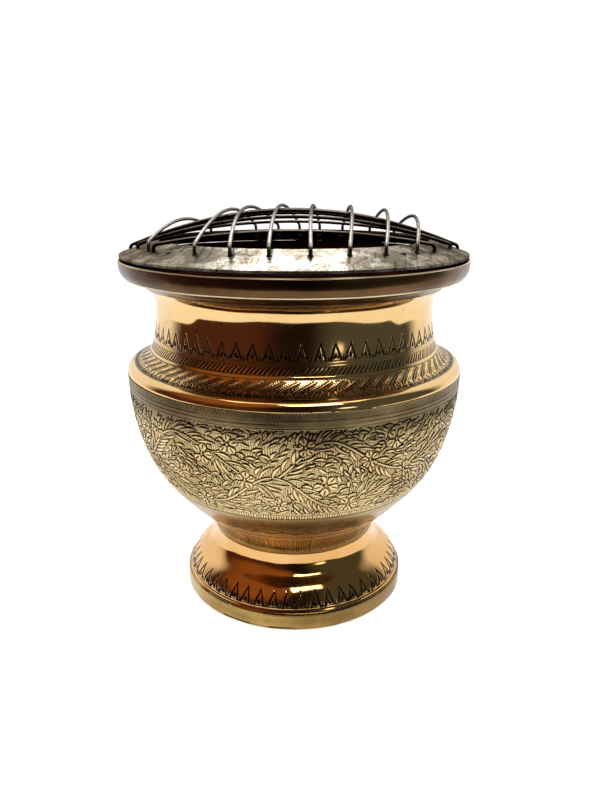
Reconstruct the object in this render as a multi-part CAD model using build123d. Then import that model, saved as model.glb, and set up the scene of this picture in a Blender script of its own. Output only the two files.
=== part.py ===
"""Footed brass incense burner with a lift-off wire screen, built from turned shells and bent wire."""
from build123d import *
from math import hypot, radians, sqrt, tan
import os

# Driving dimensions, in millimetres. The origin is the centre of the foot's resting face, +Z is up.
RIM_RADIUS = 65.0
FOOT_RADIUS = 44.9
FOOT_TOP = 25.5
BOWL_TOP = 92.5
LIP_TOP = 134.05

FOOT_WALL = 2.0
BOWL_WALL = 2.0
NECK_WALL = 1.7
LIP_WIDTH = 3.4

PLATE_OUTER_RADIUS = 64.4
PLATE_INNER_RADIUS = 50.25
PLATE_EDGE_TOP = 135.85
PLATE_SLOPE = 0.3534
PLATE_THICKNESS = 0.85

WIRE_RADIUS = 0.61
HOLE_RADIUS = 1.0
LIP_TAIL_RADIUS = 62.8
LIP_TAIL_LIMIT = -45.0
INNER_TAIL = 3.0
TAIL_CLEARANCE = 0.08
LONG_STUB = 3.0
TAIL_BEND = 1.0
STUB_BEND = 1.6

# The lid stands on the front wires' tails, so it leans back a little and its back edge sits just clear
# of the lip.
LID_TILT = -0.4
LID_RISE = 0.15

# The wires are bent and threaded by hand, so their places are uneven. A long wire runs from a front
# hole to a back hole: the X of each, how far the wire bows to the right on its way, and the height of
# its crown. A cross wire runs from side to side below the long ones: its Y, how far out its holes
# are, the height of its crown, and how far its ends stand up before it leans in.
HOLE_OVAL_X = 57.7
HOLE_OVAL_Y = 54.9
LONG_WIRES = (
    (-48.8, -36.0, 0.0, 147.2),
    (-31.1, -17.0, 0.0, 151.0),
    (-19.6, -7.0, -3.8, 152.0),
    (-7.6, 2.5, -2.3, 152.6),
    (5.0, 11.5, -1.4, 152.5),
    (17.0, 21.5, 1.7, 152.2),
    (28.6, 33.0, 2.8, 150.9),
    (39.5, 42.5, 3.3, 148.7),
)
CROSS_WIRES = (
    (-32.8, 46.5, 145.1, 2.2),
    (-17.2, 55.0, 149.2, 1.4),
    (-5.2, 60.4, 151.0, 1.1),
    (6.0, 60.4, 151.0, 1.1),
    (18.0, 56.2, 149.2, 1.4),
    (31.5, 47.6, 145.1, 2.2),
)
SPARE_HOLES = ((-40.6, "front"), (34.6, "front"), (-27.0, "back"), (50.0, "back"))


# Turned shells

def inset(outline, wall):
    """The outline moved towards the inside by the wall thickness, square to its own run."""
    moved = []
    last = len(outline) - 1
    for i, (r, z) in enumerate(outline):
        r0, z0 = outline[max(i - 1, 0)]
        r1, z1 = outline[min(i + 1, last)]
        run = hypot(r1 - r0, z1 - z0)
        moved.append((r - wall * (z1 - z0) / run, z + wall * (r1 - r0) / run))
    return moved


def lift(points):
    """Radius and height pairs as points in the XZ plane."""
    return [(r, 0, z) for r, z in points]


def smooth(points):
    return Spline(*lift(points))


def straight(points):
    return Polyline(*lift(points))


def turned(curves):
    """The solid swept by a closed section turned about the Z axis."""
    return revolve(make_face(curves), Axis.Z)


def foot_outline():
    """The concave flare, from the top of the foot's upright band to the bowl."""
    return [
        (44.0, 7.2), (43.0, 9.8), (41.4, 12.4), (39.0, 14.9), (36.4, 16.9), (34.4, 18.9),
        (33.2, 21.6), (32.9, FOOT_TOP),
    ]


def bowl_outline():
    """The belly, from the joint with the foot up to the joint with the shoulder."""
    return [
        (32.9, FOOT_TOP), (34.0, 28.6), (36.6, 32.4), (40.6, 36.6), (46.0, 42.2), (52.4, 49.8),
        (57.4, 58.0), (60.8, 67.0), (62.9, 76.0), (64.1, 85.0), (64.2, BOWL_TOP),
    ]


def roll_outline():
    """The polished roll that closes over the edge of the bowl."""
    return [(64.2, BOWL_TOP), (64.2, 93.2), (63.6, 94.8), (61.9, 96.0)]


def neck_outline():
    """The sloping shoulder, the waisted neck and the start of its flare."""
    return [
        (61.9, 96.0), (58.4, 97.9), (55.5, 100.4), (54.0, 103.6), (53.3, 108.0), (52.7, 113.0),
        (52.7, 117.5), (53.6, 121.0), (56.2, 124.2),
    ]


def make_foot():
    """Trumpet-shaped foot, hollow from below, with a flat landing for the bowl."""
    base_inner = 41.4
    landing_inner = 24.0
    landing_thickness = 2.2
    flare = foot_outline()
    hollow = inset(flare, FOOT_WALL)[:-1]
    band = straight([(base_inner, 0), (44.4, 0), (FOOT_RADIUS, 0.5), (FOOT_RADIUS, 6.6), flare[0]])
    landing_bottom = FOOT_TOP - landing_thickness
    landing = straight([flare[-1], (landing_inner, FOOT_TOP), (landing_inner, landing_bottom), hollow[-1]])
    inside = smooth(hollow)
    skirt = straight([hollow[0], (base_inner, 0)])
    return turned([band, smooth(flare), landing, inside, skirt])


def make_bowl():
    """Round belly with a closed floor."""
    floor_top = FOOT_TOP + 2.2
    floor_radius = 30.4
    outline = bowl_outline()
    inside = inset(outline, BOWL_WALL)[1:-1] + [(outline[-1][0] - BOWL_WALL, BOWL_TOP)]
    bottom = straight([inside[0], (floor_radius, floor_top), (0, floor_top), (0, FOOT_TOP), outline[0]])
    return turned([bottom, smooth(outline), straight([outline[-1], inside[-1]]), smooth(inside)])


def make_upper_body():
    """Shoulder and neck in one shell, with the roll at its lower edge."""
    roll = roll_outline()
    neck = neck_outline()
    inside = inset(roll[:-1] + neck, NECK_WALL)
    ends = [straight([roll[0], inside[0]]), straight([neck[-1], inside[-1]])]
    return turned([smooth(roll), smooth(neck), smooth(inside)] + ends)


def make_rim_flange():
    """Flared tray on the neck, with the upright band and the lip that carries the screen."""
    neck = neck_outline()
    inner_joint = inset(neck, NECK_WALL)[-1]
    lip_inner = RIM_RADIUS - LIP_WIDTH
    edge = 0.5
    under = smooth([neck[-1], (58.8, 126.0), (61.6, 126.9), (63.0, 127.3)])
    band = smooth([(63.4, 127.8), (64.5, 129.5), (64.9, 131.4), (RIM_RADIUS, LIP_TOP - edge)])
    lip = straight([
        (RIM_RADIUS, LIP_TOP - edge), (RIM_RADIUS - edge, LIP_TOP), (lip_inner + edge, LIP_TOP),
        (lip_inner, LIP_TOP - edge), (lip_inner - 0.6, 130.6), (58.6, 128.4), inner_joint,
    ])
    arris = straight([(63.0, 127.3), (63.4, 127.8)])
    return turned([under, arris, band, lip, straight([inner_joint, neck[-1]])])


# Screen lid

def plate_top(radius):
    """Height of the plate's upper face at a distance from the axis."""
    return PLATE_EDGE_TOP + (PLATE_OUTER_RADIUS - radius) * PLATE_SLOPE


def oval_hole(x, side):
    """Centre of a hole in the front or the back half of the oval."""
    y = HOLE_OVAL_Y * sqrt(1 - (x / HOLE_OVAL_X) ** 2)
    return (x, -y) if side == "front" else (x, y)


def all_holes():
    holes = [oval_hole(x, side) for x, side in SPARE_HOLES]
    for front_x, back_x, _, _ in LONG_WIRES:
        holes += [oval_hole(front_x, "front"), oval_hole(back_x, "back")]
    for y, reach, _, _ in CROSS_WIRES:
        holes += [(-reach, y), (reach, y)]
    return holes


def make_screen_plate():
    """Shallow conical ring, punched all round for the wires."""
    inner_top = plate_top(PLATE_INNER_RADIUS)
    ring = turned([straight([
        (PLATE_OUTER_RADIUS, PLATE_EDGE_TOP - PLATE_THICKNESS), (PLATE_OUTER_RADIUS, PLATE_EDGE_TOP),
        (PLATE_INNER_RADIUS, inner_top), (PLATE_INNER_RADIUS, inner_top - PLATE_THICKNESS),
        (PLATE_OUTER_RADIUS, PLATE_EDGE_TOP - PLATE_THICKNESS),
    ])])
    middle = plate_top(HOLE_OVAL_Y)
    punches = [Pos(x, y, middle) * Cylinder(HOLE_RADIUS, 8) for x, y in all_holes()]
    return ring - punches


def wire_end(hole, stub):
    """Tail under the plate, foot of the stub in the hole, and top of the stub above the plate.

    The tails at the very front point outwards and rest on the lip. The others are turned in."""
    x, y = hole
    radius = hypot(x, y)
    slant = sqrt(1 + PLATE_SLOPE ** 2)
    drop = PLATE_THICKNESS + (WIRE_RADIUS + TAIL_CLEARANCE) * slant
    tail_radius = LIP_TAIL_RADIUS if y < LIP_TAIL_LIMIT else radius - INNER_TAIL
    reach = tail_radius / radius
    tail = (x * reach, y * reach, plate_top(tail_radius) - drop)
    low = (x, y, plate_top(radius) - drop)
    high = (x, y, plate_top(radius) + stub)
    return [tail, low, high]


def bend_radius(before, corner, after):
    """The largest even bend that the shorter of two runs has room for."""
    incoming = Vector(*corner) - Vector(*before)
    outgoing = Vector(*after) - Vector(*corner)
    turn = radians(incoming.get_angle(outgoing))
    return 0.45 * min(incoming.length, outgoing.length) / tan(turn / 2)


def bent_wire(first_end, last_end, crown_height, bow):
    """Round wire: small bends at its two holes, and a low arch between them that bows to +X."""
    first, last = first_end[2], last_end[2]
    middle_rise = crown_height - (first[2] + last[2]) / 2
    arch = []
    for t in (0.1, 0.23, 0.365, 0.5, 0.635, 0.77, 0.9):
        bulge = 4 * t * (1 - t)
        x, y, z = [a + (b - a) * t for a, b in zip(first, last)]
        arch.append((x + bow * bulge, y, z + middle_rise * bulge))
    route = first_end + arch + last_end[::-1]
    wide_bends = [bend_radius(*route[i - 1:i + 2]) for i in range(3, len(route) - 3)]
    path = FilletPolyline(*route, radius=[TAIL_BEND, STUB_BEND] + wide_bends + [STUB_BEND, TAIL_BEND])
    section = Plane(origin=path @ 0, z_dir=path % 0) * Circle(WIRE_RADIUS)
    return sweep(section, path=path)


def laid_on(solid):
    """The piece of the lid as it lies: turned about the plate's front edge and raised on the tails."""
    front = (0, -PLATE_OUTER_RADIUS, PLATE_EDGE_TOP)
    back = tuple(-v for v in front)
    return Pos(0, 0, LID_RISE) * Pos(*front) * Rot(LID_TILT, 0, 0) * Pos(*back) * solid


def make_long_wire(front_x, back_x, bow, crown_height):
    front = wire_end(oval_hole(front_x, "front"), LONG_STUB)
    back = wire_end(oval_hole(back_x, "back"), LONG_STUB)
    return bent_wire(front, back, crown_height, bow)


def make_cross_wire(y, reach, crown_height, stub):
    left = wire_end((-reach, y), stub)
    right = wire_end((reach, y), stub)
    return bent_wire(left, right, crown_height, 0)


def main():
    os.makedirs("parts", exist_ok=True)
    parts = {
        "foot": make_foot(),
        "bowl": make_bowl(),
        "upper_body": make_upper_body(),
        "rim_flange": make_rim_flange(),
        "screen_plate": laid_on(make_screen_plate()),
    }
    for number, places in enumerate(LONG_WIRES, start=1):
        parts[f"long_wire_{number}"] = laid_on(make_long_wire(*places))
    for number, places in enumerate(CROSS_WIRES, start=1):
        parts[f"cross_wire_{number}"] = laid_on(make_cross_wire(*places))
    for name, solid in parts.items():
        export_step(solid, f"parts/{name}.step")


main()
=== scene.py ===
import math

import bpy
import numpy as np
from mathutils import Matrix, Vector


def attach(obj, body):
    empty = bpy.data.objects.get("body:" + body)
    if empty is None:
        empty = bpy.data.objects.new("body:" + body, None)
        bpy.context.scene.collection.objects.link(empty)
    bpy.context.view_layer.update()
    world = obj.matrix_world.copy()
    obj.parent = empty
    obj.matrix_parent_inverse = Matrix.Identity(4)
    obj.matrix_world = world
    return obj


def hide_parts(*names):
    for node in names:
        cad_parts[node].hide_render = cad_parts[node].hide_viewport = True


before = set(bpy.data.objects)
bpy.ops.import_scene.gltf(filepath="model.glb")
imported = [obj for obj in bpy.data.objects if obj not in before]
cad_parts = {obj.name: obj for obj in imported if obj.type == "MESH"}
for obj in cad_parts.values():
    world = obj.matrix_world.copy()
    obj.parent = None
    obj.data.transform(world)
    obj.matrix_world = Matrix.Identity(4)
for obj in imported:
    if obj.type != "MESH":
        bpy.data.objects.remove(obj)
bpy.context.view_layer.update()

MM = 0.001
TAU = 2 * math.pi

# Turned profiles, as radius and height in millimetres from the middle of the foot's resting face.
FOOT_BAND = [(41.4, 0), (44.4, 0), (44.9, 0.5), (44.9, 6.6), (44.0, 7.2)]
FOOT_FLARE = [
    (44.0, 7.2), (43.0, 9.8), (41.4, 12.4), (39.0, 14.9), (36.4, 16.9), (34.4, 18.9),
    (33.2, 21.6), (32.9, 25.5),
]
BOWL = [
    (32.9, 25.5), (34.0, 28.6), (36.6, 32.4), (40.6, 36.6), (46.0, 42.2), (52.4, 49.8),
    (57.4, 58.0), (60.8, 67.0), (62.9, 76.0), (64.1, 85.0), (64.2, 92.5),
]
ROLL = [(64.2, 92.5), (64.2, 93.2), (63.6, 94.8), (61.9, 96.0)]
NECK = [
    (61.9, 96.0), (58.4, 97.9), (55.5, 100.4), (54.0, 103.6), (53.3, 108.0), (52.7, 113.0),
    (52.7, 117.5), (53.6, 121.0), (56.2, 124.2),
]
RIM_UNDER = [(56.2, 124.2), (58.8, 126.0), (61.6, 126.9), (63.0, 127.3)]
RIM_BAND = [(63.4, 127.8), (64.5, 129.5), (64.9, 131.4), (65.0, 133.55)]
RIM_LIP = [(65.0, 133.55), (64.5, 134.05), (62.1, 134.05), (61.6, 133.55), (61.0, 130.6), (58.6, 128.4)]
BOWL_FLOOR = 27.7
BOWL_FLOOR_RADIUS = 30.4
FOOT_WALL = 2.0
BOWL_WALL = 2.0
NECK_WALL = 1.7
LANDING = [(32.9, 25.5), (24.0, 25.5), (24.0, 23.3)]

# Mesh density: columns round each shell, and row spacing in millimetres.
BOWL_COLUMNS = 1800
FOOT_COLUMNS = 1260
RIM_COLUMNS = 900
FINE_STEP = 0.23
RIM_STEP = 0.3
INSIDE_STEP = 1.6
FLAT_STEP = 4.0
EDGE = 0.1

# Material slots of a shell.
OUTSIDE, BAND, INSIDE = 0, 1, 2

# Chisel work, in millimetres. A tone runs from 0, bare metal, to 1, full of dark film or painted shade.
CUT_SOFTNESS = 0.12
FULL_STROKE = 2.5
FULL_RING = 1.5
BARE_GROUND = 3.0
LEAF_DISH = 0.09
WIDEST_DISH = 0.8
VEIN_DEPTH = 0.16
VEIN_TONE = 0.95
LEAF_TILT = 0.035

# The frieze: its heights, and its layout in millimetres on the developed skin.
FRIEZE = (52.2, 87.0)
REPEATS = 7
FRIEZE_INSET = 0.3
BLOOM_CLEARANCE = 3.9
BLOOMS = ((0.05, 0.82), (0.20, 0.42), (0.36, 0.14), (0.44, 0.66), (0.62, 0.84), (0.72, 0.46), (0.88, 0.18))
STEM_HALF_WIDTH = 0.36
STEM_MARGIN = 0.3
STALK_HALF_WIDTH = 0.34
STALK_MARGIN = 0.3
SPRIG_TRIES = 2600
LOOSE_LEAVES = ((4.2, 0.5, 2400), (2.8, 0.42, 3200), (1.8, 0.36, 2000))
GROUND_DEPTH = 0.24
OUTLINE_DEPTH = 0.08
COMB_DEPTH = 0.08
SHOULDER_DEPTH = 0.07
UPRIGHT_COMB = 0.82
LEVEL_COMB = 0.8

# Height of the resin crust on the back of the lip, in millimetres.
CRUST_HEIGHT = 0.62


# Profiles

def inset(outline, wall):
    """The outline moved towards the inside by the wall thickness, square to its own run."""
    moved = []
    last = len(outline) - 1
    for i, (r, z) in enumerate(outline):
        r0, z0 = outline[max(i - 1, 0)]
        r1, z1 = outline[min(i + 1, last)]
        run = math.hypot(r1 - r0, z1 - z0)
        moved.append((r - wall * (z1 - z0) / run, z + wall * (r1 - r0) / run))
    return moved


def spline(points, step):
    """Natural cubic spline through the points, sampled evenly along its length."""
    p = np.array(points, float)
    knots = np.concatenate([[0], np.cumsum(np.hypot(*np.diff(p, axis=0).T))])
    h = np.diff(knots)
    n = len(p)
    a = np.zeros((n, n))
    b = np.zeros((n, 2))
    a[0, 0] = a[-1, -1] = 1
    for i in range(1, n - 1):
        a[i, i - 1:i + 2] = h[i - 1], 2 * (h[i - 1] + h[i]), h[i]
        b[i] = 6 * ((p[i + 1] - p[i]) / h[i] - (p[i] - p[i - 1]) / h[i - 1])
    m = np.linalg.solve(a, b)
    u = np.linspace(0, knots[-1], max(3, int(knots[-1] / step) + 1))
    k = np.clip(np.searchsorted(knots, u, side="right") - 1, 0, n - 2)
    w = (u - knots[k])[:, None]
    v = (knots[k + 1] - u)[:, None]
    g = h[k][:, None]
    return (
        m[k] * v ** 3 / (6 * g) + m[k + 1] * w ** 3 / (6 * g)
        + (p[k] / g - m[k] * g / 6) * v + (p[k + 1] / g - m[k + 1] * g / 6) * w
    )


def straight(points, step):
    """Straight runs, with rows close to each corner so that the corner stays crisp."""
    rows = []
    for a, b in zip(points[:-1], points[1:]):
        a, b = np.array(a, float), np.array(b, float)
        length = np.hypot(*(b - a))
        edge = min(EDGE / length, 0.3) if length else 0.3
        inner = np.linspace(edge, 1 - edge, max(2, int(length / step)))
        rows += [a + (b - a) * t for t in inner]
    return np.array(rows)


class Section:
    """A closed or pole-to-pole profile made of runs, each with its own material and spacing."""

    def __init__(self):
        self.rows = []
        self.kinds = []
        self.spans = {}

    def add(self, rows, kind, name=None, lower=None, split=0.0):
        """Rows of one kind, or of the lower kind below the split height."""
        start = len(self.rows)
        self.rows += [tuple(r) for r in rows]
        self.kinds += [kind if lower is None or r[1] > split else lower for r in rows]
        if name:
            self.spans[name] = (start, len(self.rows))

    def skin(self, name, columns, radius):
        """The blank relief of a named run, and where that run lies among the rows."""
        start, end = self.spans[name]
        return Relief(np.array(self.rows[start:end]), columns, radius), (start, end)

    def outward(self):
        """Outward normal of each row, with the section running up the outside."""
        p = np.array(self.rows)
        run = np.roll(p, -1, axis=0) - np.roll(p, 1, axis=0)
        run /= np.maximum(np.hypot(run[:, 0], run[:, 1]), 1e-9)[:, None]
        return np.stack([run[:, 1], -run[:, 0]], axis=1)


# Relief on a turned surface: how far each point is cut below the skin, and how dark the cut is, with any painted
# shade.

def smooth_step(x, low, high):
    t = np.clip((x - low) / (high - low), 0, 1)
    return t * t * (3 - 2 * t)


def nearest(s, t, line):
    """Distance to a polyline, place along it from 0 to 1, and signed distance to its left."""
    best = np.full(s.shape, 1e9)
    along = np.zeros(s.shape)
    side = np.zeros(s.shape)
    runs = np.hypot(*np.diff(line, axis=0).T)
    total = runs.sum()
    done = 0.0
    for a, b, run in zip(line[:-1], line[1:], runs):
        d = (b - a) / run
        q = np.clip((s - a[0]) * d[0] + (t - a[1]) * d[1], 0, run)
        ds, dt = s - a[0] - q * d[0], t - a[1] - q * d[1]
        gap = np.hypot(ds, dt)
        closer = gap < best
        best[closer] = gap[closer]
        along[closer] = ((done + q) / total)[closer]
        side[closer] = (np.sign(d[0] * dt - d[1] * ds) * gap)[closer]
        done += run
    return best, along, side


def bezier(a, b, c, count=7):
    """Quadratic curve from a to c, pulled towards b."""
    u = np.linspace(0, 1, count)[:, None]
    return (1 - u) ** 2 * np.array(a) + 2 * u * (1 - u) * np.array(b) + u * u * np.array(c)


class Relief:
    """The developed skin of a turned shell: columns go round it and rows run up its arc."""

    def __init__(self, rows, columns, radius):
        steps = np.hypot(*np.diff(rows, axis=0).T)
        self.t = np.concatenate([[0], np.cumsum(steps)])
        self.z = rows[:, 1]
        self.girth = TAU * radius
        self.step = self.girth / columns
        self.columns = columns
        self.depth = np.zeros((len(rows), columns))
        self.tone = np.zeros((len(rows), columns))
        self.shape = np.full((len(rows), columns), BARE_GROUND)

    def arc(self, z):
        return float(np.interp(z, self.z, self.t))

    def window(self, line, margin):
        low, high = line.min(axis=0) - margin, line.max(axis=0) + margin
        rows = np.arange(np.searchsorted(self.t, low[1]), np.searchsorted(self.t, high[1]))
        cols = np.arange(math.floor(low[0] / self.step), math.ceil(high[0] / self.step) + 1)
        s, t = np.meshgrid(cols * self.step, self.t[rows])
        return np.ix_(rows, cols % self.columns), s, t

    def stroke(self, line, width, depth, tone, taper=0.35):
        """One cut of a chisel: a groove that starts full and narrows to its end."""
        line = np.array(line, float)
        where, s, t = self.window(line, width + 0.3)
        if s.size == 0:
            return
        gap, along, _ = nearest(s, t, line)
        half = width * (1 - (1 - taper) * along)
        cut = smooth_step(half + CUT_SOFTNESS - gap, 0, half + CUT_SOFTNESS)
        self.depth[where] = np.maximum(self.depth[where], depth * cut)
        self.tone[where] = np.maximum(self.tone[where], tone * np.minimum(1, FULL_STROKE * cut))

    def ring(self, z, width, depth, tone, drift, phase=0.0):
        """A line turned or scribed all the way round, which drifts a little from its height."""
        s = np.arange(self.columns) / self.columns * TAU
        centre = self.arc(z) + drift * (np.sin(3 * s + phase) + 0.6 * np.sin(7 * s + 2 * phase))
        cut = np.clip(1 - np.abs(self.t[:, None] - centre[None, :]) / width, 0, 1)
        self.depth = np.maximum(self.depth, depth * cut)
        self.tone = np.maximum(self.tone, tone * np.minimum(1, FULL_RING * cut))

    def leaf(self, line, width, blunt, margin, vein=0.0, slit=(0.25, 0.8), force=True, tilt=0.0):
        """A raised leaf or petal left standing. Without force it is left out where the ground is taken."""
        line = np.array(line, float)
        where, s, t = self.window(line, width + margin + 0.2)
        if s.size == 0:
            return
        gap, along, side = nearest(s, t, line)
        half = width * np.sin(math.pi * np.clip(along, 0.02, 0.985) ** blunt) ** 0.75
        edge = gap - half
        old = self.shape[where]
        inside = edge < 0
        if not force and np.count_nonzero(inside & (old < 0.3)) > 0.12 * np.count_nonzero(inside):
            return
        take = edge < margin
        self.shape[where] = np.where(take, edge, old)
        self.tone[where] = np.where(take, 0, self.tone[where])
        across = np.clip(side / half, -1, 1)
        skin = LEAF_DISH * min(width, WIDEST_DISH) * across ** 2 + tilt * across + abs(tilt)
        self.depth[where] = np.where(take, skin * inside, self.depth[where])
        if vein:
            cut = smooth_step(vein + 0.1 - np.abs(side), 0, vein + 0.05) * inside
            cut *= smooth_step(along, slit[0] - 0.05, slit[0] + 0.05)
            cut *= smooth_step(-along, -slit[1] - 0.05, -slit[1] + 0.05)
            self.depth[where] = np.maximum(self.depth[where], VEIN_DEPTH * cut)
            self.tone[where] = np.maximum(self.tone[where], VEIN_TONE * cut)


def triangles(relief, rng, count, z_base, z_tip, width, inner):
    """A row of tall chiselled chevrons with small cuts inside each."""
    pitch = relief.girth / count
    base, tip = relief.arc(z_base), relief.arc(z_tip)
    tall = tip - base
    for k in range(count):
        middle = (k + 0.5) * pitch + rng.uniform(-0.25, 0.25)
        top = tip + rng.uniform(-0.35, 0.35)
        sway = rng.uniform(-0.3, 0.3)
        for side in (-1, 1):
            foot = (middle + side * pitch * rng.uniform(0.31, 0.37), base + rng.uniform(-0.2, 0.3))
            knee = (middle + side * pitch * 0.15, base + tall * 0.55)
            over = (middle + sway - side * rng.uniform(0.0, 0.25), top)
            relief.stroke([foot, knee, over], width * rng.uniform(0.8, 1.15), 0.13, 1.0, 0.3)
        heart = [(middle, base + tall * 0.12), (middle, base + tall * 0.3)]
        relief.stroke(heart, width * 0.9, 0.1, 1.0, 0.7)
        for _ in range(inner):
            at = middle + rng.uniform(-0.22, 0.22) * pitch
            low = base + tall * rng.uniform(0.05, 0.3)
            relief.stroke([(at, low), (at + 0.15, low + 0.5)], width * 0.6, 0.1, 0.9, 0.8)
        gap = middle + pitch / 2
        spacer = [(gap, base - 0.1), (gap + rng.uniform(-0.2, 0.2), base + tall * 0.2)]
        relief.stroke(spacer, width * 0.8, 0.1, 1.0)


def hatch(relief, rng, count, z_low, z_high, slant, width, skip=0.0, depth=0.1, tone=0.9):
    """Short slanted cuts, close together, all the way round, with a share of them skipped."""
    pitch = relief.girth / count
    low, high = relief.arc(z_low), relief.arc(z_high)
    for k in range(count):
        if rng.random() < skip:
            continue
        s = k * pitch + rng.normal(0, 0.08 * pitch)
        a = (s, low + rng.uniform(0, 0.12) * (high - low))
        b = (s + slant + rng.normal(0, 0.06), high - rng.uniform(0, 0.15) * (high - low))
        relief.stroke([a, b], width, depth, tone, 0.6)


def zigzag(relief, rng, count, z, height):
    """A wavering zigzag line with a small cut over each of its tops."""
    pitch = relief.girth / count
    level = relief.arc(z)
    for k in range(count):
        a = (k * pitch, level + rng.uniform(-0.15, 0.15))
        b = ((k + 0.5) * pitch, level + height + rng.uniform(-0.2, 0.2))
        c = ((k + 1) * pitch, level + rng.uniform(-0.15, 0.15))
        relief.stroke([a, b, c], 0.42, 0.15, 1.0, 0.9)
        dot = [(b[0], level + height + 0.9), (b[0] + 0.3, level + height + 1.0)]
        relief.stroke(dot, 0.2, 0.08, 0.9, 1)


def feathers(relief, rng, count, z_low, z_high):
    """Slanted leaves on the shoulder, each a long cut with comb teeth on its lower side."""
    pitch = relief.girth / count
    low, high = relief.arc(z_low), relief.arc(z_high)
    tall = high - low
    for k in range(count):
        s = k * pitch + rng.uniform(-0.2, 0.2)
        a = np.array((s, low + 0.1))
        c = np.array((s + pitch * 1.25, high - 0.2 + rng.uniform(-0.15, 0.1)))
        bend = (a + c) / 2 + np.array((-0.25, 0.45))
        spine = bezier(a, bend, c)
        relief.stroke(spine, 0.28, 0.12, 1.0, 0.3)
        relief.stroke(spine + np.array((1.1, -0.1)), 0.24, 0.1, 0.9, 0.3)
        for u in np.linspace(0.12, 0.95, 9):
            place, part = int(u * 6), (u * 6) % 1
            root = spine[place] * (1 - part) + spine[min(6, place + 1)] * part
            tooth = root + np.array((-0.35 - 0.3 * u, 0.75 - 0.3 * u))
            relief.stroke([root, tooth], 0.15, 0.12, 0.85, 0.4)
        for u in (0.3, 0.5, 0.7):
            at = (s + pitch * u + 1.1, low + tall * 0.1)
            relief.stroke([at, (at[0] + 0.35, at[1] + tall * 0.3)], 0.16, 0.1, 0.8)


def arcs(relief, rng, count, z_low, z_high):
    """Small scallops at the foot of the shoulder, filled with short cuts."""
    pitch = relief.girth / count
    low, high = relief.arc(z_low), relief.arc(z_high)
    for k in range(count):
        s = (k + 0.5) * pitch + rng.uniform(-0.1, 0.1)
        crest = high + rng.uniform(-0.1, 0.1)
        scallop = bezier((s - pitch * 0.42, low), (s, 2 * crest - low), (s + pitch * 0.42, low), 6)
        relief.stroke(scallop, 0.17, 0.1, 0.8, 1)
        for u in (-0.26, -0.1, 0.08, 0.24):
            rib = [(s + u * pitch, low), (s + u * pitch * 0.8, low + (high - low) * 0.55)]
            relief.stroke(rib, 0.13, 0.08, 0.75)


class Scroll:
    """Two waving stems that run right round the frieze."""

    def __init__(self, relief, z_low, z_high, repeats):
        self.low, self.high = relief.arc(z_low), relief.arc(z_high)
        self.period = relief.girth / repeats
        self.girth = relief.girth

    def height(self, s, upper):
        w = TAU * s / self.period
        wander = TAU * s / self.girth
        tall = self.high - self.low
        if upper:
            wave = 0.20 * math.sin(w + 0.35 * math.sin(2 * wander))
            return self.low + tall * (0.66 + wave + 0.03 * math.sin(2 * w))
        wave = 0.19 * math.sin(w + 2.5 + 0.3 * math.sin(3 * wander))
        return self.low + tall * (0.30 + wave - 0.02 * math.sin(2 * w))

    def tangent(self, s, upper):
        rise = self.height(s + 0.2, upper) - self.height(s - 0.2, upper)
        d = np.array((0.4, rise))
        return d / np.hypot(*d)

    def point(self, s, upper):
        return np.array((s, self.height(s, upper)))

    def nearer_upper(self, s, t):
        return abs(self.height(s, True) - t) < abs(self.height(s, False) - t)

    def growth(self, root):
        """The direction of the nearer stem beside a point, and 1 above that stem or -1 below it."""
        upper = self.nearer_upper(*root)
        above = 1 if root[1] > self.height(root[0], upper) else -1
        return self.tangent(root[0], upper), above


def turn(vector, degrees):
    a = math.radians(degrees)
    x, y = vector
    return np.array((x * math.cos(a) - y * math.sin(a), x * math.sin(a) + y * math.cos(a)))


def leaf_tilt(rng):
    """How far one side of a leaf is cut lower than the other."""
    return rng.uniform(-LEAF_TILT, LEAF_TILT)


def flower(relief, rng, centre, radius):
    """Five blunt petals with a slit in each, round a small boss."""
    start = rng.uniform(0, 72)
    for k in range(5):
        ray = turn((1, 0), start + 72 * k + rng.uniform(-8, 8))
        reach = radius * rng.uniform(0.9, 1.08)
        line = [centre + ray * radius * 0.2, centre + ray * reach * 0.62, centre + ray * reach]
        relief.leaf(line, radius * 0.33, 1.3, 0.42, vein=0.34, slit=(0.3, 0.9), tilt=leaf_tilt(rng))
    relief.leaf([centre - (0.3, 0), centre + (0.3, 0)], radius * 0.2, 1.0, 0.24)


def rod(relief, line, width, margin):
    """A raised stem that narrows towards its end, with room left round it."""
    line = np.array(line, float)
    where, s, t = relief.window(line, width + margin + 0.2)
    gap, along, _ = nearest(s, t, line)
    half = width * (1 - 0.4 * along)
    edge = gap - half
    take = edge < margin
    relief.shape[where] = np.where(take, edge, relief.shape[where])
    relief.tone[where] = np.where(take, 0, relief.tone[where])
    relief.depth[where] = np.where(take, 0.1 * np.clip(gap / half, 0, 1) ** 2, relief.depth[where])


def spray(relief, rng, line, spacing, size, plump, start, spread, clear=0.45):
    """Curved leaves on both sides of a stem, each rooted in it and swept forward."""
    runs = np.hypot(*np.diff(line, axis=0).T)
    marks = np.concatenate([[0], np.cumsum(runs)])
    side = rng.choice([-1, 1])
    at = marks[-1] * start
    while at < marks[-1] * 0.97:
        root, ahead = (
            np.array([np.interp(at + d, marks, line[:, 0]), np.interp(at + d, marks, line[:, 1])])
            for d in (0, 0.3)
        )
        d = ahead - root
        if np.hypot(*d) < 0.05:
            break
        d /= np.hypot(*d)
        long = size * rng.uniform(0.8, 1.15)
        root = root + turn(d, side * 90) * clear
        mid = root + turn(d, side * rng.uniform(40, 52)) * long * 0.5
        tip = root + turn(d, side * rng.uniform(*spread)) * long
        wide = plump * rng.uniform(0.85, 1.1)
        blunt = rng.uniform(0.7, 1.1)
        relief.leaf(bezier(root, mid, tip), wide, blunt, 0.25, force=False, tilt=leaf_tilt(rng))
        side = -side
        at += spacing * rng.uniform(0.88, 1.12)


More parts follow.
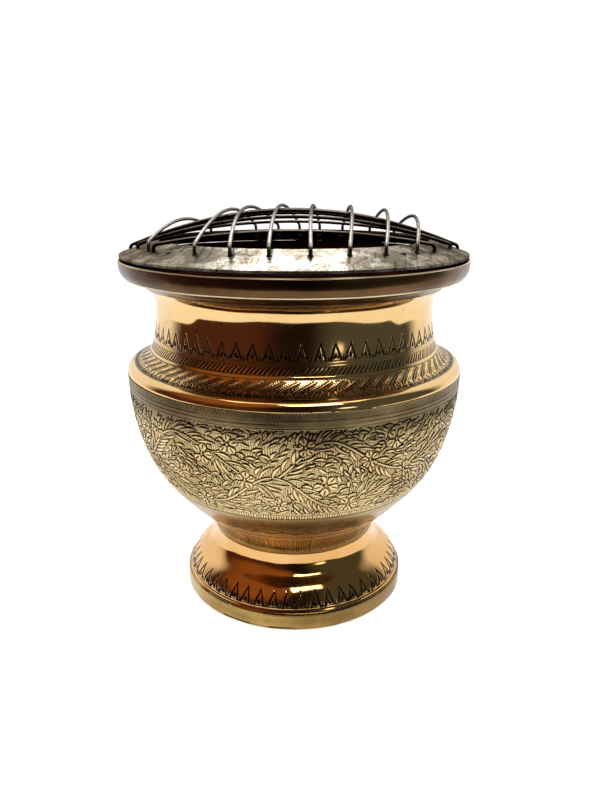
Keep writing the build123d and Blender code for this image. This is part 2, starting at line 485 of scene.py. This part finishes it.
def sprig(relief, rng, root, heading, low, high):
    """A small branch with its leaves, where the ground is still free."""
    size = rng.uniform(5.0, 8.5)
    bend = rng.choice([-1, 1]) * rng.uniform(15, 45)
    mid = root + turn(heading, bend) * size * 0.5
    tip = root + heading * size
    line = bezier(root, mid, tip, 9)
    if line[:, 1].min() < low + 0.4 or line[:, 1].max() > high - 0.4:
        return
    rows = np.clip(np.searchsorted(relief.t, line[:, 1]), 0, len(relief.t) - 1)
    cols = np.round(line[:, 0] / relief.step).astype(int) % relief.columns
    if np.mean(relief.shape[rows, cols] > 0.5) < 0.85:
        return
    rod(relief, line[:8], 0.22, 0.24)
    bud = bezier(line[6], line[7], tip + turn(heading, -bend * 0.4) * 1.4)
    relief.leaf(bud, 0.55, 1.2, 0.34, 0.12, tilt=leaf_tilt(rng))
    spray(relief, rng, line[:8], 1.35, rng.uniform(3.0, 4.0), 0.5, 0.12, (16, 36))


def cut_stem(relief, line):
    """Gives a main stem its rounded skin and a faint line along its middle."""
    where, s, t = relief.window(line, 1.3)
    gap, _, _ = nearest(s, t, line)
    take = gap < STEM_HALF_WIDTH + STEM_MARGIN
    cut = smooth_step(0.24 - gap, 0, 0.2)
    skin = 0.03 * cut + 0.12 * np.clip(gap / STEM_HALF_WIDTH, 0, 1) ** 2
    relief.shape[where] = np.where(take, gap - STEM_HALF_WIDTH, relief.shape[where])
    relief.tone[where] = np.where(take, 0.12 * cut, relief.tone[where])
    relief.depth[where] = np.where(take, skin, relief.depth[where])


def frieze(relief, rng, z_low, z_high):
    """Chased foliage: two stems, flower stalks, sprays and sprigs, then leaves on what ground is left."""
    scroll = Scroll(relief, z_low, z_high, REPEATS)
    low, high = scroll.low + FRIEZE_INSET, scroll.high - FRIEZE_INSET
    stalks, blooms = [], []
    for k in range(REPEATS):
        for u, v in BLOOMS:
            s = (k + u) * scroll.period + rng.uniform(-1.3, 1.3)
            t = low + (high - low) * v + rng.uniform(-1.0, 1.0)
            t = min(max(t, low + BLOOM_CLEARANCE), high - BLOOM_CLEARANCE)
            start = s - rng.uniform(8, 12)
            upper = scroll.nearer_upper(start, t)
            root = scroll.point(start, upper)
            control = root + scroll.tangent(start, upper) * rng.uniform(4.5, 6.5)
            blooms.append((np.array((s, t)), rng.uniform(3.6, 4.5)))
            stalks.append(bezier(root, control, (s, t), 10))
    stems = []
    for upper in (True, False):
        for k in range(REPEATS):
            s = np.linspace(k * scroll.period, (k + 1) * scroll.period, 30)
            stems.append(np.array([scroll.point(x, upper) for x in s]))
    for line in stalks:
        rod(relief, line, STALK_HALF_WIDTH, STALK_MARGIN)
    for line in stems:
        for part in range(0, 28, 4):
            rod(relief, line[part:part + 6], STEM_HALF_WIDTH, 0.0 if part else 0.1)
    for line in stems:
        cut_stem(relief, line)
    for centre, radius in blooms:
        flower(relief, rng, centre, radius)
    for line in stems:
        spray(relief, rng, line, 1.15, 6.6, 0.46, 0.01, (20, 28), 0.7)
    for line in stalks:
        spray(relief, rng, line[:9], 1.3, 5.0, 0.5, 0.1, (20, 34), 0.55)
    for _ in range(SPRIG_TRIES):
        root = np.array((rng.uniform(0, relief.girth), rng.uniform(low + 0.5, high - 0.5)))
        forward, above = scroll.growth(root)
        sprig(relief, rng, root, turn(forward, above * rng.uniform(5, 55)), low, high)
    for long, plump, tries in LOOSE_LEAVES:
        for _ in range(tries):
            root = np.array((rng.uniform(0, relief.girth), rng.uniform(low, high)))
            forward, above = scroll.growth(root)
            d = turn(forward, above * rng.uniform(8, 46))
            size = long * rng.uniform(0.8, 1.2)
            tip = root + d * size
            if not low < tip[1] < high:
                continue
            mid = root + turn(d, above * rng.uniform(16, 50)) * size * 0.5
            wide = plump * rng.uniform(0.85, 1.1)
            blunt = rng.uniform(0.8, 1.3)
            relief.leaf(bezier(root, mid, tip, 6), wide, blunt, 0.36, force=False, tilt=leaf_tilt(rng))


def painted_dark_reflection(relief, z_low, z_high, most):
    """A painted dark reflection, laid on as tone that thickens upward between two heights and reaches lower in
    some places than in others.
    """
    low, high = relief.arc(z_low), relief.arc(z_high)
    turned = TAU * np.arange(relief.columns) / relief.columns
    height = relief.t[:, None] + 1.6 * np.sin(3 * turned + 0.6)[None, :] + 0.8 * np.sin(7 * turned)[None, :]
    relief.tone = np.maximum(relief.tone, most * smooth_step(height, low, high))


def sink_ground(relief, z_low, z_high):
    """Cuts the ground away round the raised foliage and hatches it with a comb of fine lines."""
    low, high = relief.arc(z_low), relief.arc(z_high)
    rows = (relief.t > low) & (relief.t < high)
    t = relief.t[rows][:, None]
    s = np.arange(relief.columns)[None, :] * relief.step
    shape = relief.shape[rows]
    ground = smooth_step(shape, 0.0, 0.3)
    outline = smooth_step(shape, -0.06, 0.08) * smooth_step(-shape, -0.46, -0.26)
    w = TAU * s / relief.girth
    patch = np.sin(23 * w + 0.4 * t) + np.sin(-17 * w + 0.55 * t + 1.3) + np.sin(41 * w - 0.2 * t)
    upright = 0.5 + 0.5 * np.cos(TAU * (s / UPRIGHT_COMB + 0.1 * t))
    across = 0.5 + 0.5 * np.cos(TAU * (t / LEVEL_COMB + s / 2.6))
    comb = np.where(patch > 0, upright, across)
    fade = smooth_step(t, low, low + 0.5) * smooth_step(-t, -high, -high + 0.5)
    sunk = (
        GROUND_DEPTH * ground + OUTLINE_DEPTH * outline + COMB_DEPTH * ground * comb
        + SHOULDER_DEPTH * smooth_step(shape, -0.4, 0.05)
    )
    relief.depth[rows] = np.maximum(relief.depth[rows], fade * sunk)
    tone = outline + (1 - outline) * ground * (0.06 + 0.62 * comb ** 1.5)
    relief.tone[rows] = np.maximum(relief.tone[rows], fade * tone)


# Turned meshes

def waver(columns, t, seed, size):
    """The slow unevenness of a shell turned and polished by hand, always inwards."""
    rng = np.random.default_rng(seed)
    phi = np.arange(columns) / columns * TAU
    total = np.zeros((len(t), columns))
    for n in (2, 3, 5, 7, 9, 12, 14, 17, 20, 24):
        rate = rng.uniform(0.05, 0.4) * rng.choice([-1, 1])
        phase = rng.uniform(0, TAU)
        total += np.sin(n * phi[None, :] + rate * t[:, None] + phase) / n ** 0.6
    total -= total.max()
    return -total / -total.min() * size


def turned(name, section, columns, relief=None, span=None, wobble=(1, 0.08), poles=False, swell=0.0):
    """A mesh turned from the section, with the relief cut into one of its runs and a swell on top."""
    p = np.array(section.rows)
    normal = section.outward()
    n = len(p)
    steps = np.hypot(*np.diff(p, axis=0).T)
    arc = np.concatenate([[0], np.cumsum(steps)])
    sink = waver(columns, arc, wobble[0], wobble[1])
    tone = np.zeros((n, columns))
    if relief is not None:
        sink[span[0]:span[1]] += relief.depth
        tone[span[0]:span[1]] = relief.tone
    if poles:
        sink[0] = sink[0].mean()
        sink[-1] = sink[-1].mean()
    r = np.maximum(p[:, :1] - normal[:, :1] * sink, 0)
    z = np.broadcast_to(p[:, 1:], r.shape) - normal[:, 1:] * sink + swell
    phi = np.arange(columns) / columns * TAU
    co = np.stack([r * np.sin(phi), -r * np.cos(phi), z], axis=2) * MM
    mesh = bpy.data.meshes.new(name)
    rows = np.arange(n - 1 if poles else n)
    i, j = np.meshgrid(rows, np.arange(columns), indexing="ij")
    i2, j2 = (i + 1) % n, (j + 1) % columns
    corners = [i * columns + j, i * columns + j2, i2 * columns + j2, i2 * columns + j]
    quads = np.stack(corners, axis=2).reshape(-1, 4)
    mesh.vertices.add(n * columns)
    mesh.vertices.foreach_set("co", co.reshape(-1, 3).astype(np.float32).ravel())
    mesh.loops.add(quads.size)
    mesh.loops.foreach_set("vertex_index", quads.ravel().astype(np.int32))
    mesh.polygons.add(len(quads))
    mesh.polygons.foreach_set("loop_start", np.arange(len(quads), dtype=np.int32) * 4)
    kinds = np.array(section.kinds)[rows]
    mesh.polygons.foreach_set("material_index", np.repeat(kinds, columns).astype(np.int32))
    mesh.polygons.foreach_set("use_smooth", np.ones(len(quads), bool))
    unwrap(mesh, section, arc, i, j, columns)
    attribute = mesh.attributes.new("tone", "FLOAT", "POINT")
    attribute.data.foreach_set("value", tone.astype(np.float32).ravel())
    mesh.update(calc_edges=True)
    mesh.validate(clean_customdata=False)
    shell = bpy.data.objects.new(name, mesh)
    bpy.context.scene.collection.objects.link(shell)
    return shell


def unwrap(mesh, section, arc, i, j, columns):
    """Two half turns, one above the other, with little room for the plain inside."""
    weight = np.where(np.array(section.kinds) == INSIDE, 0.15, 1.0)
    steps = np.diff(np.append(arc, arc[-1] + 0.1))
    v_of = np.concatenate([[0], np.cumsum(steps * weight)])
    v_of /= v_of[-1]
    half = columns // 2
    second = j >= half
    u0 = (j - second * half) / half
    u1 = u0 + 1 / half
    v0 = (v_of[i] + second * 1.02) / 2.02
    v1 = (v_of[i + 1] + second * 1.02) / 2.02
    uv = np.stack([u0, v0, u1, v0, u1, v1, u0, v1], axis=2).reshape(-1, 2)
    layer = mesh.uv_layers.new(name="OFBake")
    layer.data.foreach_set("uv", (uv * 0.995 + 0.0025).astype(np.float32).ravel())


def make_foot():
    section = Section()
    section.add(straight(FOOT_BAND, 0.8), BAND)
    section.add(spline(FOOT_FLARE, FINE_STEP), OUTSIDE, "flare")
    section.add(straight(LANDING, 3.0), INSIDE)
    hollow = inset(FOOT_FLARE, FOOT_WALL)[:-1]
    section.add(spline(hollow, INSIDE_STEP)[::-1], INSIDE)
    section.add(straight([hollow[0], (41.4, 0)], INSIDE_STEP), INSIDE)
    relief, span = section.skin("flare", FOOT_COLUMNS, radius=42.5)
    rng = np.random.default_rng(11)
    triangles(relief, rng, count=50, z_base=9.0, z_tip=14.0, width=0.54, inner=3)
    relief.ring(8.1, width=0.3, depth=0.12, tone=0.85, drift=0.05)
    relief.ring(8.9, width=0.2, depth=0.07, tone=0.6, drift=0.05, phase=2.0)
    return turned("visual_foot", section, FOOT_COLUMNS, relief, span, wobble=(3, 0.5))


def make_bowl():
    rim_z = BOWL[-1][1]
    section = Section()
    section.add(straight([(0, 25.5), (32.9, 25.5)], FLAT_STEP), INSIDE)
    section.rows[0] = (0.0, 25.5)
    section.add(spline(BOWL, FINE_STEP), OUTSIDE, "belly", lower=BAND, split=50.1)
    inner = inset(BOWL, BOWL_WALL)[1:-1] + [(BOWL[-1][0] - BOWL_WALL, rim_z)]
    section.add(straight([BOWL[-1], inner[-1]], 1.0), INSIDE)
    section.add(spline(inner, INSIDE_STEP)[::-1], INSIDE)
    section.add(straight([inner[0], (BOWL_FLOOR_RADIUS, BOWL_FLOOR), (0, BOWL_FLOOR)], FLAT_STEP), INSIDE)
    section.rows[-1] = (0.0, BOWL_FLOOR)
    relief, span = section.skin("belly", BOWL_COLUMNS, radius=61.3)
    rng = np.random.default_rng(5)
    frieze(relief, rng, *FRIEZE)
    sink_ground(relief, *FRIEZE)
    # Painted dark reflection round the top of the frieze, laid on as tone.
    painted_dark_reflection(relief, z_low=76.5, z_high=87.5, most=0.55)
    hatch(relief, rng, 380, 50.4, 52.0, slant=0.1, width=0.15, depth=0.06, tone=1.0)
    for z, width, depth in (
        (50.1, 0.3, 0.12), (52.1, 0.2, 0.08), (87.2, 0.24, 0.06), (88.6, 0.14, 0.03), (90.0, 0.18, 0.04),
    ):
        relief.ring(z, width, depth, tone=0.85, drift=0.06, phase=z)
    hatch(relief, rng, 400, 90.3, 92.2, slant=0.75, width=0.12, depth=0.035, tone=0.7)
    hatch(relief, rng, 250, 27.0, 34.5, slant=0.1, width=0.22, skip=0.06)
    relief.ring(36.6, width=0.3, depth=0.1, tone=0.7, drift=0.05, phase=4.0)
    relief.ring(43.6, width=0.2, depth=0.07, tone=0.6, drift=0.08, phase=5.0)
    zigzag(relief, rng, count=34, z=39.4, height=2.2)
    return turned("visual_bowl", section, BOWL_COLUMNS, relief, span, wobble=(7, 0.2), poles=True)


def make_upper_body():
    section = Section()
    section.add(spline(ROLL, FINE_STEP), OUTSIDE)
    section.add(spline(NECK, FINE_STEP)[1:], OUTSIDE, "neck")
    inner = inset(ROLL[:-1] + NECK, NECK_WALL)
    section.add(straight([NECK[-1], inner[-1]], 1.0), INSIDE)
    section.add(spline(inner, INSIDE_STEP)[::-1], INSIDE)
    section.add(straight([inner[0], ROLL[0]], 1.0), INSIDE)
    relief, span = section.skin("neck", BOWL_COLUMNS, radius=55.0)
    rng = np.random.default_rng(23)
    arcs(relief, rng, count=140, z_low=96.5, z_high=97.5)
    feathers(relief, rng, count=68, z_low=97.6, z_high=100.3)
    relief.ring(96.35, width=0.25, depth=0.1, tone=0.8, drift=0.04, phase=1.0)
    relief.ring(100.55, width=0.22, depth=0.1, tone=0.8, drift=0.05, phase=2.0)
    relief.ring(101.7, width=0.22, depth=0.1, tone=0.8, drift=0.05, phase=3.0)
    hatch(relief, rng, 215, 101.9, 104.1, slant=1.8, width=0.3, depth=0.1, tone=1.0)
    relief.ring(104.3, width=0.2, depth=0.08, tone=0.75, drift=0.05, phase=4.0)
    relief.ring(105.2, width=0.16, depth=0.06, tone=0.6, drift=0.05, phase=5.0)
    relief.ring(106.0, width=0.2, depth=0.08, tone=0.75, drift=0.05, phase=6.0)
    triangles(relief, rng, count=62, z_base=106.4, z_tip=111.7, width=0.42, inner=4)
    return turned("visual_upper_body", section, BOWL_COLUMNS, relief, span, wobble=(19, 0.3))


def crust(section, columns):
    """Baked resin on the inner edge of the lip at the back, where the lid beds down on it."""
    p = np.array(section.rows)
    phi = np.arange(columns) / columns * TAU
    back = smooth_step(-np.cos(phi), 0.42, 0.66)
    hill = smooth_step(p[:, 1], 133.2, 133.9) * smooth_step(-p[:, 0], -63.4, -62.4)
    uneven = 0.92 + 0.05 * np.sin(23 * phi) + 0.03 * np.sin(61 * phi + 1)
    return CRUST_HEIGHT * hill[:, None] * (back * uneven)[None, :]


def make_rim():
    section = Section()
    inner = inset(NECK, NECK_WALL)[-1]
    section.add(spline(RIM_UNDER, 0.4), OUTSIDE)
    # The band slot on the rim is the rubbed brass: a painted highlight line, partly wear, at the foot of the
    # band and on the lip's outer edge.
    section.add(straight([RIM_UNDER[-1], RIM_BAND[0]], RIM_STEP), BAND)
    section.add(spline(RIM_BAND, RIM_STEP), OUTSIDE)
    section.add(straight(RIM_LIP[:2], RIM_STEP), BAND)
    section.add(straight(RIM_LIP[1:] + [inner, RIM_UNDER[0]], 0.7), INSIDE)
    swell = crust(section, RIM_COLUMNS)
    return turned("visual_rim_flange", section, RIM_COLUMNS, wobble=(31, 0.3), swell=swell)


# Materials

class Graph:
    """A node tree, built one node at a time."""

    def __init__(self, tree):
        self.tree = tree
        tree.nodes.clear()

    def add(self, kind, inputs=None, **settings):
        made = self.tree.nodes.new(kind)
        for name, value in settings.items():
            setattr(made, name, value)
        for key, value in (inputs or {}).items():
            if isinstance(value, bpy.types.NodeSocket):
                self.tree.links.new(value, made.inputs[key])
            else:
                made.inputs[key].default_value = value
        return made

    def math(self, operation, a, b=0.0, clamp=False):
        return self.add("ShaderNodeMath", {0: a, 1: b}, operation=operation, use_clamp=clamp).outputs[0]

    def ramp(self, value, low, high, to_low=0.0, to_high=1.0):
        made = self.add(
            "ShaderNodeMapRange",
            {"Value": value, "From Min": low, "From Max": high, "To Min": to_low, "To Max": to_high},
            interpolation_type="SMOOTHSTEP",
        )
        return made.outputs[0]

    def mix(self, factor, a, b):
        made = self.add("ShaderNodeMix", data_type="RGBA")
        for key, value in ((0, factor), (6, a), (7, b)):
            if isinstance(value, bpy.types.NodeSocket):
                self.tree.links.new(value, made.inputs[key])
            elif key:
                made.inputs[key].default_value = (*value, 1)
            else:
                made.inputs[key].default_value = value
        return made.outputs[2]

    def noise(self, vector, scale, detail=3.0, roughness=0.55):
        inputs = {"Vector": vector, "Scale": scale, "Detail": detail, "Roughness": roughness}
        return self.add("ShaderNodeTexNoise", inputs).outputs[0]

    def scratches(self, vector, angle):
        """Fine straight handling marks that all run one way across a level surface."""
        spun = self.add("ShaderNodeVectorRotate", {"Vector": vector, "Angle": angle}, rotation_type="Z_AXIS")
        drawn_out = self.stretched(spun.outputs[0], (50.0, 1100.0, 50.0))
        return self.ramp(self.noise(drawn_out, 1.0, 2.0, 0.5), 0.6, 0.66)

    def stretched(self, vector, scale):
        return self.add("ShaderNodeVectorMath", {0: vector, 1: scale}, operation="MULTIPLY").outputs[0]


def metal(name, bright, worn, dark, rough, rough_dark, bump, lathe, tarnish=None, stain=0.5, spots=16.0,
          soot_and_underside_shade=None, scratched=0.0, dents=0.0, edge=(1.0, 1.0, 1.0, 1.0)):
    """Brass: bright metal, worn patches, a dark film in the cuts (with any painted shade the tone carries),
    turning marks, dents and scratches, and, where asked, painted shade on the faces that turn down, partly soot.
    """
    material = bpy.data.materials.new(name)
    material.use_nodes = True
    g = Graph(material.node_tree)
    place = g.add("ShaderNodeTexCoord").outputs["Object"]
    tone = g.add("ShaderNodeAttribute", attribute_name="tone").outputs["Fac"]
    cloud = g.noise(place, 38.0, 5.0, 0.62)
    fleck = g.noise(place, 420.0, 4.0, 0.6)
    turning = g.noise(g.stretched(place, (14.0, 14.0, 1500.0)), 1.0, 3.0, 0.6)
    wear = g.ramp(cloud, 0.42, 0.66)
    colour = g.mix(wear, bright, worn)
    if tarnish:
        blot = g.noise(place, spots, 6.0, 0.68)
        film = g.math("ADD", g.math("MULTIPLY", blot, 0.8), g.math("MULTIPLY", turning, 0.25))
        colour = g.mix(g.ramp(film, 0.5 - 0.14 * stain, 0.5 + 0.2 * stain), colour, tarnish)
    colour = g.mix(g.math("MULTIPLY", g.ramp(fleck, 0.62, 0.8), 0.35), colour, dark)
    # The tone darkens the colour: dark film in the cuts, and the painted dark reflection where the relief
    # carries one.
    film_and_painted_shade = g.math("MULTIPLY", tone, g.ramp(cloud, 0.2, 0.7, 1.0, 1.5), clamp=True)
    colour = g.mix(film_and_painted_shade, colour, dark)
    if scratched:
        for angle in (0.5, -0.9, 1.7):
            colour = g.mix(g.math("MULTIPLY", g.scratches(place, angle), scratched), colour, dark)
    # Painted shade, partly soot: faces that turn down or sideways are darkened towards the dark film.
    if soot_and_underside_shade:
        upward = g.add("ShaderNodeSeparateXYZ", {0: g.add("ShaderNodeTexCoord").outputs["Normal"]}).outputs[2]
        exposed = g.math("ADD", upward, g.math("MULTIPLY", cloud, 0.5))
        soot_and_shade = g.ramp(exposed, soot_and_underside_shade[0], soot_and_underside_shade[1], 1.0, 0.0)
        colour = g.mix(soot_and_shade, colour, dark)
        tone = g.math("MAXIMUM", tone, soot_and_shade)
    polish = g.ramp(cloud, 0.3, 0.7, rough * 0.8, rough * 1.3)
    polish = g.math("ADD", polish, g.math("MULTIPLY", fleck, 0.04))
    polish = g.math("ADD", polish, g.math("MULTIPLY", tone, rough_dark - rough), clamp=True)
    marks = g.math("ADD", g.math("MULTIPLY", turning, lathe), g.math("MULTIPLY", fleck, 0.6))
    marks = g.math("ADD", marks, g.math("MULTIPLY", cloud, 1.2))
    if dents:
        hollows = g.noise(place, 55.0, 1.0, 0.4)
        marks = g.math("ADD", marks, g.math("MULTIPLY", hollows, dents))
    raised = g.add("ShaderNodeBump", {"Height": marks, "Distance": bump, "Strength": 1.0}).outputs[0]
    shader = g.add(
        "ShaderNodeBsdfPrincipled",
        {
            "Base Color": colour, "Roughness": polish, "Normal": raised,
            "Metallic": 1.0, "Specular Tint": edge,
        },
    )
    g.add("ShaderNodeOutputMaterial", {0: shader.outputs[0]})
    return material


# Light

# Colours of the surroundings that the brass mirrors, and of the backdrop that the camera sees.
TENT = (1.0, 1.0, 1.0)
TENT_GAP = (0.10, 0.085, 0.07)
ROOM_LEFT = (0.075, 0.026, 0.015)
ROOM_MIDDLE = (0.014, 0.008, 0.008)
ROOM_RIGHT = (0.075, 0.080, 0.070)
CEILING_FRONT = (0.09, 0.065, 0.045)
CEILING_BACK = (0.75, 0.72, 0.68)
WARM_WALL = (0.27, 0.105, 0.03)
SMALL_LAMP = (2.4, 2.3, 2.1)
BACKDROP = (1.08, 1.08, 1.08)

FLOOR_GLOW = 0.8
CLOTH_GLOW = 0.27
SHEET_WHITE = 0.8
CLOTH_REACH = 0.38
LIGHT_AIM = (0, 0, 0.08)
CAMERA_PLACE = (0, -0.2685, 0.1615)
CAMERA_PITCH = 72.45


def heading_of(azimuth, elevation):
    """The direction at an azimuth from the front and an elevation, in degrees."""
    a, e = math.radians(azimuth), math.radians(elevation)
    return math.sin(a) * math.cos(e), -math.cos(a) * math.cos(e), math.sin(e)


def lobe(g, direction, azimuth, elevation, inner, outer):
    """A soft round patch: full within the inner angle and gone beyond the outer one."""
    towards = heading_of(azimuth, elevation)
    cosine = g.add("ShaderNodeVectorMath", {0: direction, 1: towards}, operation="DOT_PRODUCT").outputs["Value"]
    return g.ramp(cosine, math.cos(math.radians(outer)), math.cos(math.radians(inner)))


def make_world():
    """A pale tent behind and to the sides, and a dark room in front of it."""
    world = bpy.data.worlds.new("studio")
    bpy.context.scene.world = world
    world.use_nodes = True
    g = Graph(world.node_tree)
    direction = g.add("ShaderNodeTexCoord").outputs["Generated"]
    x, y, z = g.add("ShaderNodeSeparateXYZ", {0: direction}).outputs
    gap_behind = lobe(g, direction, 180, 8, 10, 26)
    tent = g.mix(gap_behind, TENT, TENT_GAP)
    room = g.mix(g.ramp(x, -0.6, -0.05), ROOM_LEFT, ROOM_MIDDLE)
    room = g.mix(g.ramp(x, 0.15, 0.6), room, ROOM_RIGHT)
    sky = g.mix(g.ramp(y, 0.15, 0.5), room, tent)
    ceiling = g.mix(g.ramp(y, -0.05, 0.3), CEILING_FRONT, CEILING_BACK)
    sky = g.mix(g.ramp(z, 0.72, 0.94), sky, ceiling)
    sky = g.mix(lobe(g, direction, -58, 48, 14, 44), sky, WARM_WALL)
    sky = g.mix(lobe(g, direction, 34, 4, 2, 7), sky, SMALL_LAMP)
    seen = g.add("ShaderNodeLightPath").outputs["Is Camera Ray"]
    sky = g.mix(seen, sky, BACKDROP)
    back = g.add("ShaderNodeBackground", {"Color": sky, "Strength": 1.0})
    g.add("ShaderNodeOutputWorld", {0: back.outputs[0]})


def area_light(name, azimuth, elevation, distance, size, radiance, colour):
    """A rectangular softbox that faces the object and doesn't show itself to the camera."""
    towards = Vector(heading_of(azimuth, elevation))
    light = bpy.data.lights.new(name, "AREA")
    light.shape = "RECTANGLE"
    light.size, light.size_y = size
    light.energy = radiance * math.pi * size[0] * size[1]
    light.color = colour
    lamp = bpy.data.objects.new(name, light)
    lamp.location = Vector(LIGHT_AIM) + towards * distance
    lamp.rotation_mode = "QUATERNION"
    lamp.rotation_quaternion = towards.to_track_quat("Z", "Y")
    lamp.visible_camera = False
    bpy.context.scene.collection.objects.link(lamp)


def plane(name, outline, z, glow):
    """A level matt sheet with a glow of its own."""
    white = SHEET_WHITE
    mesh = bpy.data.meshes.new(name)
    mesh.from_pydata([(x, y, z) for x, y in outline], [], [tuple(range(len(outline)))])
    sheet = bpy.data.objects.new(name, mesh)
    bpy.context.scene.collection.objects.link(sheet)
    material = bpy.data.materials.new(name)
    material.use_nodes = True
    g = Graph(material.node_tree)
    place = g.add("ShaderNodeTexCoord").outputs["Object"]
    shade = g.mix(g.noise(place, 6.0), (white, white, white), (white * 0.97, white * 0.965, white * 0.96))
    matt = g.add("ShaderNodeBsdfDiffuse", {"Color": shade})
    lit = g.add("ShaderNodeEmission", {"Color": (1, 1, 1, 1), "Strength": glow})
    both = g.add("ShaderNodeAddShader", {0: matt.outputs[0], 1: lit.outputs[0]})
    g.add("ShaderNodeOutputMaterial", {0: both.outputs[0]})
    mesh.materials.append(material)
    return sheet


def cloth_outline():
    """The pale cloth that the brass mirrors: near at the front, and far out to the sides and back."""
    angles = np.radians(np.arange(-95, 96, 2.5))
    turned_by = np.degrees(np.abs(angles))
    notch = 0.12 * (1 - smooth_step(turned_by, 25, 75)) + 0.012 * (1 - smooth_step(turned_by, 8, 26))
    wing = 0.24 * smooth_step(turned_by, 76, 92)
    reach = CLOTH_REACH - notch + wing + 0.006 * np.sin(7 * angles + 1)
    front = list(zip((reach * np.sin(angles)).tolist(), (-reach * np.cos(angles)).tolist()))
    return front + [(0.6, 0.7), (-0.6, 0.7)]


def make_stage():
    floor = plane("floor", [(-4, -4), (4, -4), (4, 4), (-4, 4)], 0.0, FLOOR_GLOW)
    floor.visible_glossy = False
    near = plane("near_floor", cloth_outline(), -0.0002, CLOTH_GLOW)
    near.visible_camera = False
    near.visible_diffuse = False
    near.visible_shadow = False


def make_camera():
    camera = bpy.data.objects.new("camera", bpy.data.cameras.new("camera"))
    camera.location = CAMERA_PLACE
    camera.rotation_euler = (math.radians(CAMERA_PITCH), 0, 0)
    camera.data.sensor_width = 36
    camera.data.lens = 31.5
    camera.data.shift_x = 0.0074
    camera.data.clip_start = 0.01
    bpy.context.scene.collection.objects.link(camera)
    bpy.context.scene.camera = camera


# Assembly

polished = metal(
    "polished_brass", bright=(0.88, 0.60, 0.27), worn=(0.84, 0.55, 0.23), dark=(0.022, 0.010, 0.006),
    rough=0.06, rough_dark=0.5, bump=0.000012, lathe=0.12, dents=10.0,
)
polished_foot = metal(
    "polished_foot", bright=(0.84, 0.50, 0.20), worn=(0.76, 0.43, 0.15), dark=(0.022, 0.010, 0.006),
    rough=0.06, rough_dark=0.5, bump=0.000014, lathe=0.12, dents=38.0,
)
satin = metal(
    "satin_brass", bright=(0.52, 0.35, 0.11), worn=(0.42, 0.27, 0.075), dark=(0.03, 0.015, 0.008),
    rough=0.20, rough_dark=0.5, bump=0.00003, lathe=0.2, tarnish=(0.22, 0.13, 0.04), stain=0.8,
)
engraved = metal(
    "engraved_brass", bright=(0.90, 0.68, 0.33), worn=(0.76, 0.54, 0.24), dark=(0.020, 0.010, 0.006),
    rough=0.09, rough_dark=0.55, bump=0.000015, lathe=0.15,
)
tarnished = metal(
    "tarnished_brass", bright=(0.17, 0.092, 0.039), worn=(0.115, 0.056, 0.024), dark=(0.02, 0.010, 0.006),
    rough=0.22, rough_dark=0.5, bump=0.00003, lathe=0.12, tarnish=(0.055, 0.026, 0.012), stain=1.0, spots=30.0,
)
# Pale rough brass for the rim's edges: partly rubbed wear, partly a painted highlight line.
rubbed_highlight = metal(
    "rubbed_highlight_brass", bright=(0.95, 0.84, 0.58), worn=(0.70, 0.56, 0.32), dark=(0.05, 0.03, 0.015),
    rough=0.5, rough_dark=0.5, bump=0.00004, lathe=0.2,
)
inside = metal(
    "inside_patina", bright=(0.14, 0.05, 0.028), worn=(0.09, 0.03, 0.018), dark=(0.015, 0.007, 0.006),
    rough=0.42, rough_dark=0.6, bump=0.00012, lathe=1.0, tarnish=(0.045, 0.016, 0.011), stain=0.9,
    edge=(0.35, 0.2, 0.15, 1.0),
)
# The plate's underside and lower faces get painted shade, partly soot.
grey_plate = metal(
    "plate_brass", bright=(0.86, 0.82, 0.72), worn=(0.66, 0.60, 0.48), dark=(0.014, 0.006, 0.005),
    rough=0.26, rough_dark=0.7, bump=0.0004, lathe=0.12, tarnish=(0.36, 0.33, 0.28), stain=0.35, spots=110.0,
    soot_and_underside_shade=(0.05, 0.45), scratched=0.4, edge=(0.35, 0.28, 0.22, 1.0),
)
# Painted shade, partly soot, darkens the long wires' sides and undersides.
wire = metal(
    "wire_brass", bright=(0.70, 0.65, 0.56), worn=(0.42, 0.37, 0.28), dark=(0.020, 0.015, 0.011),
    rough=0.26, rough_dark=0.5, bump=0.00006, lathe=0.2, tarnish=(0.17, 0.14, 0.11), stain=0.9, soot_and_underside_shade=(0.10, 0.8),
)
# Painted shade leaves only the tops of the cross wires bright, with a dark stained film on the rest.
dark_wire = metal(
    "wire_smoked_and_shaded", bright=(0.50, 0.45, 0.38), worn=(0.20, 0.16, 0.12), dark=(0.012, 0.009, 0.008),
    rough=0.28, rough_dark=0.6, bump=0.00008, lathe=0.2, tarnish=(0.05, 0.04, 0.032), stain=1.0, soot_and_underside_shade=(0.5, 1.1),
)

make_camera()
make_world()
make_stage()
area_light("window", 20, 62, 0.9, (0.42, 0.34), 5.0, (1.0, 0.98, 0.94))
area_light("back_light", 180, 46, 0.9, (0.30, 0.20), 6.0, (1.0, 0.99, 0.97))
area_light("overhead", 0, 88, 1.0, (1.0, 0.34), 1.5, (1.0, 0.94, 0.80))

shells = (
    (make_foot(), "foot", "pot", "polished_brass", (polished_foot, satin, inside)),
    (make_bowl(), "bowl", "pot", "engraved_brass", (engraved, satin, inside)),
    (make_upper_body(), "upper_body", "pot", "polished_brass", (polished, satin, inside)),
    (make_rim(), "rim_flange", "pot", "tarnished_brass", (tarnished, rubbed_highlight, inside)),
)
for shell, node_name, body, slot_name, materials in shells:
    for material in materials:
        shell.data.materials.append(material)
    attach(shell, body)
    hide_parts(node_name)

for node_name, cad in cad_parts.items():
    if node_name == "screen_plate":
        finish, slot_name = grey_plate, "screen_brass"
    elif "wire" in node_name:
        finish, slot_name = wire if "long" in node_name else dark_wire, "wire_brass"
    else:
        continue
    cad.data.materials.clear()
    cad.data.materials.append(finish)

bpy.context.scene.view_settings.view_transform = "Standard"
